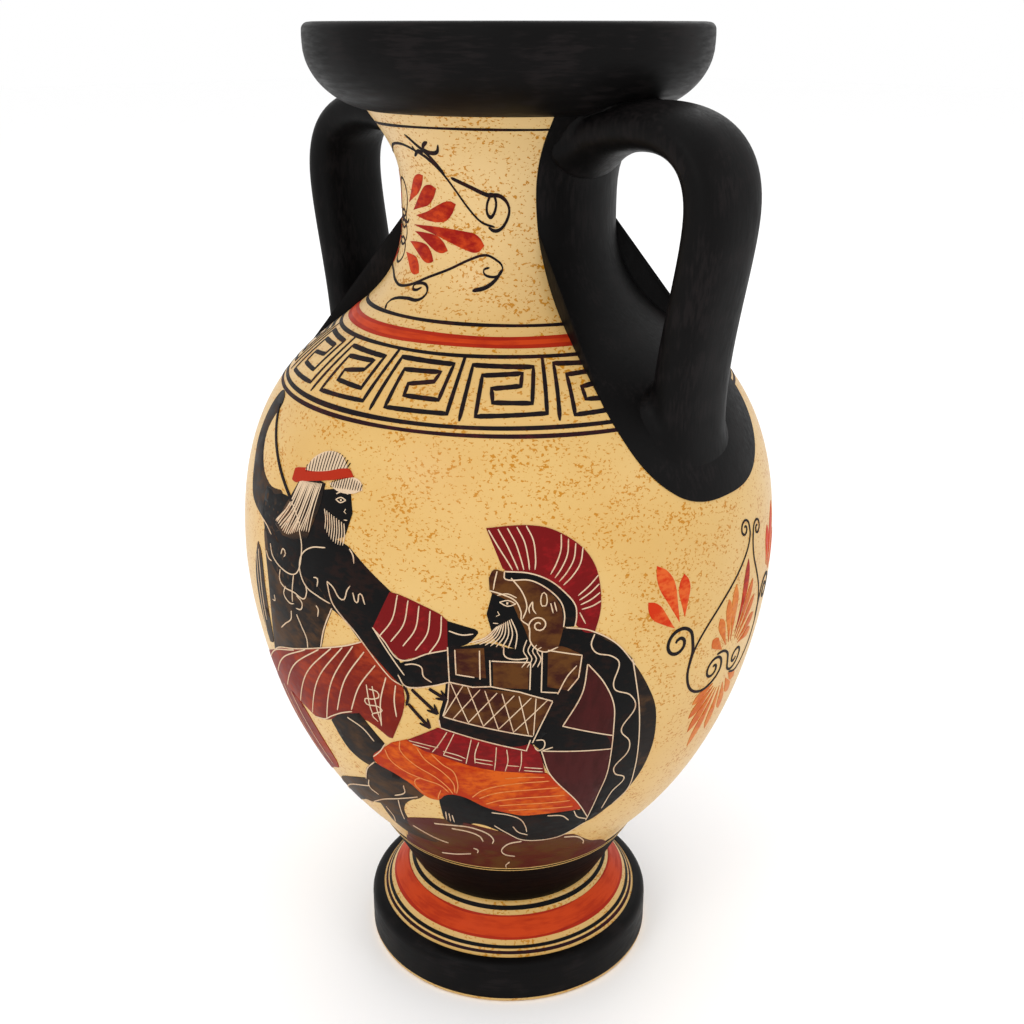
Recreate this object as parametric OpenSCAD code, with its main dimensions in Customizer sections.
// Two-handled amphora in black-figure style, thrown in sections and luted together.
// Millimetres, +Z up, origin on the axis at the plane the foot stands on.
// Handles lie on the +X and -X sides; the painted front faces -Y.

/* [Foot] */
// Largest radius of the foot disc
foot_r = 45.1; // [44.5:0.1:47]
// Height of the foot's upright edge
foot_edge_h = 12.5; // [10.5:0.5:13]
// Height of the foot, up to the stem
foot_h = 26; // [25:0.5:28]
// Radius of the foot where the stem stands on it
foot_top_r = 30; // [29:0.5:31]
// Inner radius of the ring that the foot stands on
rest_ring_r = 35; // [30:0.5:38]
// Depth of the hollow under the foot
under_hollow_h = 9; // [5:0.5:11]

/* [Body] */
// Largest radius of the belly
belly_r = 77.3; // [74:0.1:80]
// Height of the belly's widest ring
belly_z = 138.5; // [134:0.5:143]
// Radius where the stem's flare turns into the belly
flare_r = 46.2; // [45:0.1:48]
// Height where the stem's flare turns into the belly
flare_z = 54; // [53:0.5:56]
// Thickness of the thrown walls
wall = 5; // [4:0.5:6]

/* [Neck] */
// Radius of the neck at its waist
neck_r = 29.1; // [28:0.1:31]
// Height of the neck's waist
waist_z = 231; // [228:0.5:234]
// Radius of the neck's top, where the mouth starts
neck_top_r = 37.8; // [37:0.1:39]
// Height of the neck's top
neck_top_z = 258.5; // [257:0.5:260]

/* [Mouth] */
// Largest radius of the mouth
mouth_r = 53.6; // [52:0.1:56]
// Height of the rim, which is the height of the whole vessel
rim_z = 280; // [278:0.5:284]
// Width of the mouth's wall at the rim
rim_w = 5.5; // [5:0.5:7]

/* [Handles] */
// Thickness of a handle, measured away from the vessel
handle_t = 12; // [10:0.5:13]
// Breadth of a handle, measured around the vessel
handle_w = 24.6; // [20:0.2:26]
// Distance of the handle's middle line from the axis at its elbow
handle_reach = 71.2; // [69:0.1:73]
// Distance of the handle's middle line from the axis at the shoulder
handle_foot_reach = 64.3; // [62.5:0.1:65]
// Width of the clay worked round each handle root
root_pad_w = 2.6; // [1.5:0.1:3]

/* [Hidden] */
$fn = 144;

BLACK = [0.10, 0.10, 0.10];
CLAY = [0.88, 0.72, 0.44];
RAW_CLAY = [0.80, 0.62, 0.42];
RED_SLIP = [0.55, 0.20, 0.10];

SEAM_LAP = 0.5;          // share of the wall that laps over at a seam
COIL_BULGE = 2.2;        // how far a luting coil stands out of the wall
COIL_REACH = 2;          // curve steps that a luting coil covers below its seam
FLOOR_Z = 38;            // inside bottom of the vessel
FLOOR_DISH = 1.5;        // how much the floor rises towards its edge
FLOOR_R = 20;            // radius of the floor's dished middle
SPIGOT_R = 20;           // plug under the stem that keys it into the foot
SPIGOT_H = 3;
EDGE_ROUND = 2;          // rounding of the rim and of the foot's edges
FOOT_SHOULDER_W = 3.8;   // breadth of the rounded shoulder on top of the foot's edge
FOOT_SHOULDER_H = 1.3;   // rise of that shoulder
RIM_INNER_ROUND = 1.2;   // rounding of the rim's inner edge
ARC_STEPS = 6;
PAD_EDGE = 0.4;          // thickness a root pad thins out to on the handle
GOLDEN_ARC = 0.5523;     // control length that makes a cubic draw a quarter circle

// ---- curves in the (radius, height) plane ----

// Cubic curve from a to d with control points b and c
function cubic(a, b, c, d, steps) =
    [for (i = [0:steps]) let (t = i / steps, u = 1 - t)
        u * u * u * a + 3 * u * u * t * b + 3 * u * t * t * c + t * t * t * d];

// Quarter round from a to c with the sharp corner at b
function quarter(a, b, c) =
    cubic(a, a + GOLDEN_ARC * (b - a), c + GOLDEN_ARC * (b - c), c, ARC_STEPS);

function from(list, first) = [for (i = [first:len(list) - 1]) list[i]];
function unit(v) = v / norm(v);
function between(a, b, share) = a + share * (b - a);
function leaning(angle) = [sin(angle), cos(angle)];

// Direction of travel along a curve at point i
function heading(curve, i) =
    unit(curve[min(i + 1, len(curve) - 1)] - curve[max(i - 1, 0)]);

// Direction into the wall at point i of a curve that climbs the outside
function inward(curve, i) = let (h = heading(curve, i)) [-h[1], h[0]];

STEM_STEPS = 9;
BELLY_STEPS = 30;
SHOULDER_STEPS = 44;
NECK_STEPS = 10;
MOUTH_STEPS = 12;
STEM_SEAM = 7;           // curve point where the stem stops and the belly starts
NECK_SEAM = 27;          // shoulder curve point where the neck starts

// Leans are degrees from upright, and pulls are the lengths of a cubic's control arms
STEM_FOOT_LEAN = 51.5;
STEM_FOOT_PULL = 2.4;
FLARE_LEAN = 41.8;
FLARE_PULL_LOW = 7.5;
FLARE_PULL_HIGH = 40.6;
BELLY_PULL_LOW = 12;
BELLY_PULL_HIGH = 70.5;
WAIST_PULL_LOW = 36.6;
WAIST_PULL_HIGH = 12;
NECK_TOP_LEAN = 37.3;
NECK_TOP_PULL = 15.3;
MOUTH_FOOT_LEAN = 79.6;
MOUTH_FOOT_PULL = 8.3;
MOUTH_SIDE_PULL = 8.5;
MOUTH_UPRIGHT_H = 5;     // height of the upright stretch below the rim
BOWL_SIDE_PULL = 10;
BOWL_FOOT_LEAN = 45;
BOWL_FOOT_PULL = 9.9;

stem_point = [foot_top_r, foot_h];
flare_point = [flare_r, flare_z];
belly_point = [belly_r, belly_z];
waist_point = [neck_r, waist_z];
neck_top = [neck_top_r, neck_top_z];
mouth_side = [mouth_r, rim_z - MOUTH_UPRIGHT_H];
UP = [0, 1];

stem_curve = cubic(stem_point, stem_point + STEM_FOOT_PULL * leaning(STEM_FOOT_LEAN),
                   flare_point - FLARE_PULL_LOW * leaning(FLARE_LEAN), flare_point, STEM_STEPS);
belly_curve = cubic(flare_point, flare_point + FLARE_PULL_HIGH * leaning(FLARE_LEAN),
                    belly_point - BELLY_PULL_LOW * UP, belly_point, BELLY_STEPS);
shoulder_curve = cubic(belly_point, belly_point + BELLY_PULL_HIGH * UP,
                       waist_point - WAIST_PULL_LOW * UP, waist_point, SHOULDER_STEPS);
neck_curve = cubic(waist_point, waist_point + WAIST_PULL_HIGH * UP,
                   neck_top - NECK_TOP_PULL * leaning(NECK_TOP_LEAN), neck_top, NECK_STEPS);
mouth_curve = cubic(neck_top, neck_top + MOUTH_FOOT_PULL * leaning(MOUTH_FOOT_LEAN),
                    mouth_side - MOUTH_SIDE_PULL * UP, mouth_side, MOUTH_STEPS);

// The whole wall from the stem's foot to the neck's top, outside and inside
wall_out = concat(stem_curve, from(belly_curve, 1), from(shoulder_curve, 1), from(neck_curve, 1));
wall_in = [for (i = [0:len(wall_out) - 1]) wall_out[i] + wall * inward(wall_out, i)];
NECK_END = len(wall_out) - 1;
BELLY_SEAM = STEM_STEPS + BELLY_STEPS;
NECK_START = BELLY_SEAM + NECK_SEAM;
function mid(i) = between(wall_out[i], wall_in[i], SEAM_LAP);

foot_outline = concat(
    [[0, under_hollow_h], [rest_ring_r - under_hollow_h * 0.6, under_hollow_h], [rest_ring_r, 0]],
    quarter([foot_r - EDGE_ROUND * 0.6, 0], [foot_r, 0], [foot_r, EDGE_ROUND]),
    quarter([foot_r, foot_edge_h - EDGE_ROUND], [foot_r, foot_edge_h + FOOT_SHOULDER_H],
            [foot_r - FOOT_SHOULDER_W, foot_edge_h + FOOT_SHOULDER_H]),
    [stem_point, [SPIGOT_R, foot_h], [SPIGOT_R, foot_h - SPIGOT_H], [0, foot_h - SPIGOT_H]]);

rim_inner_r = mouth_r - rim_w;
mouth_out = concat(mouth_curve,
    quarter([mouth_r, rim_z - EDGE_ROUND], [mouth_r, rim_z], [mouth_r - EDGE_ROUND, rim_z]));
bowl_start = [rim_inner_r, rim_z - RIM_INNER_ROUND];
mouth_bowl = concat(
    quarter([rim_inner_r + RIM_INNER_ROUND, rim_z], [rim_inner_r, rim_z], bowl_start),
    from(cubic(bowl_start, bowl_start - BOWL_SIDE_PULL * UP,
               wall_in[NECK_END] + BOWL_FOOT_PULL * leaning(BOWL_FOOT_LEAN),
               wall_in[NECK_END], MOUTH_STEPS), 1));

// ---- shapes ----

module turned(outline) {
    rotate_extrude() polygon(outline);
}

// A stretch of the thrown wall between curve points a and b. The inner half of the wall
// laps one curve step past the seam, so that each section sits in the one below it.
module wall_section(a, b, lap_high) {
    turned(concat(
        [for (i = [a:b]) wall_out[i]],
        lap_high ? [mid(b), mid(b + 1)] : [],
        [for (i = [(lap_high ? b + 1 : b):-1:a + 1]) wall_in[i]],
        [mid(a + 1), mid(a)]));
}

// A coil of clay smeared over the seam at curve point i on the inside of the wall
module seam_coil(i) {
    first = i - COIL_REACH;
    last = i + COIL_REACH + 1;
    turned(concat(
        [for (k = [first:last]) wall_in[k]],
        [for (k = [last - 1:-1:first + 1])
            wall_in[k] + COIL_BULGE * sin(180 * (k - first) / (last - first)) * inward(wall_in, k)]));
}

module vessel_envelope() {
    turned(concat([[0, foot_h]], wall_out, from(mouth_out, 1), [[0, rim_z]]));
}

// ---- handles ----

HANDLE_SIDES = 24;
HANDLE_STEPS = 16;
HANDLE_SQUARENESS = 0.8; // power that turns the oval section slightly square
TOP_PAD_STEPS = 7;       // steps of the handle's line that a top pad covers
BASE_PAD_STEPS = 6;      // the same for a base pad

ROOT_R = 27;             // the middle line starts inside the neck
ROOT_DROP = 2.3;         // and this far below the neck's top
SPRING_R = 62;           // control points of the elbow
SPRING_RISE = 1;
ELBOW_DROP = 4.5;
ELBOW_Z = 238;           // heights where the middle line is upright
FALL_Z = 226;            // control heights of the long fall to the shoulder
SETTLE_Z = 206;
BASE_Z = 186;
BURIED_Z = [179, 170, 160];

elbow_point = [handle_reach, ELBOW_Z];
base_point = [handle_foot_reach, BASE_Z];
handle_line = concat(
    cubic([ROOT_R, neck_top_z - ROOT_DROP], [SPRING_R, neck_top_z + SPRING_RISE],
          [handle_reach, neck_top_z - ELBOW_DROP], elbow_point, HANDLE_STEPS),
    from(cubic(elbow_point, [handle_reach, FALL_Z], [handle_foot_reach, SETTLE_Z],
               base_point, HANDLE_STEPS), 1),
    [for (z = BURIED_Z) [handle_foot_reach, z]]);
HANDLE_END = len(handle_line) - 1;

function squared(x) = sign(x) * pow(abs(x), HANDLE_SQUARENESS);

// One ring of the handle's surface, grow mm bigger all round than the handle itself
function handle_ring(i, grow) =
    [for (k = [0:HANDLE_SIDES - 1])
        let (a = 360 * k / HANDLE_SIDES,
             breadth = (handle_w / 2 + grow) * squared(sin(a)),
             p = handle_line[i] + (handle_t / 2 + grow) * squared(cos(a)) * inward(handle_line, i))
        [p[0], breadth, p[1]]];

// Solid swept along the handle's middle line from point a to point b
module handle_sweep(a, b, grow_a, grow_b) {
    rings = b - a;
    points = [for (i = [a:b]) each handle_ring(i, between(grow_a, grow_b, (i - a) / rings))];
    sides = [for (i = [0:rings - 1], k = [0:HANDLE_SIDES - 1])
        let (next = (k + 1) % HANDLE_SIDES, low = i * HANDLE_SIDES, high = low + HANDLE_SIDES)
        [low + k, low + next, high + next, high + k]];
    first_cap = [for (k = [HANDLE_SIDES - 1:-1:0]) k];
    last_cap = [for (k = [0:HANDLE_SIDES - 1]) rings * HANDLE_SIDES + k];
    polyhedron(points, concat(sides, [first_cap, last_cap]));
}

module handle() {
    color(BLACK) difference() {
        handle_sweep(0, HANDLE_END, 0, 0);
        vessel_envelope();
    }
}

module root_pad(a, b, grow_a, grow_b) {
    color(BLACK) difference() {
        handle_sweep(a, b, grow_a, grow_b);
        vessel_envelope();
        handle_sweep(0, HANDLE_END, 0, 0);
    }
}

module opposite() { rotate([0, 0, 180]) children(); }

// ---- pieces ----

module foot() { color(RED_SLIP) turned(foot_outline); }

module stem() {
    color(BLACK) turned(concat(
        [[0, foot_h - SPIGOT_H], [SPIGOT_R, foot_h - SPIGOT_H], [SPIGOT_R, foot_h]],
        [for (i = [0:STEM_SEAM]) wall_out[i]],
        [mid(STEM_SEAM), mid(STEM_SEAM + 1), wall_in[STEM_SEAM + 1]],
        [[FLOOR_R, FLOOR_Z + FLOOR_DISH], [0, FLOOR_Z]]));
}

module lower_belly() { color(CLAY) wall_section(STEM_SEAM, BELLY_SEAM, true); }
module shoulder() { color(CLAY) wall_section(BELLY_SEAM, NECK_START, true); }
module neck() { color(CLAY) wall_section(NECK_START, NECK_END, false); }
module mouth() { color(BLACK) turned(concat(mouth_out, mouth_bowl)); }
module belly_seam_coil() { color(RAW_CLAY) seam_coil(BELLY_SEAM); }
module neck_seam_coil() { color(RAW_CLAY) seam_coil(NECK_START); }
module right_handle() { handle(); }
module left_handle() { opposite() handle(); }
module right_handle_top_pad() { root_pad(1, TOP_PAD_STEPS, root_pad_w, PAD_EDGE); }
module left_handle_top_pad() { opposite() right_handle_top_pad(); }
module right_handle_base_pad() {
    root_pad(HANDLE_END - BASE_PAD_STEPS, HANDLE_END - 1, PAD_EDGE, root_pad_w);
}
module left_handle_base_pad() { opposite() right_handle_base_pad(); }

foot();
stem();
lower_belly();
shoulder();
neck();
mouth();
belly_seam_coil();
neck_seam_coil();
right_handle();
left_handle();
right_handle_top_pad();
right_handle_base_pad();
left_handle_top_pad();
left_handle_base_pad();
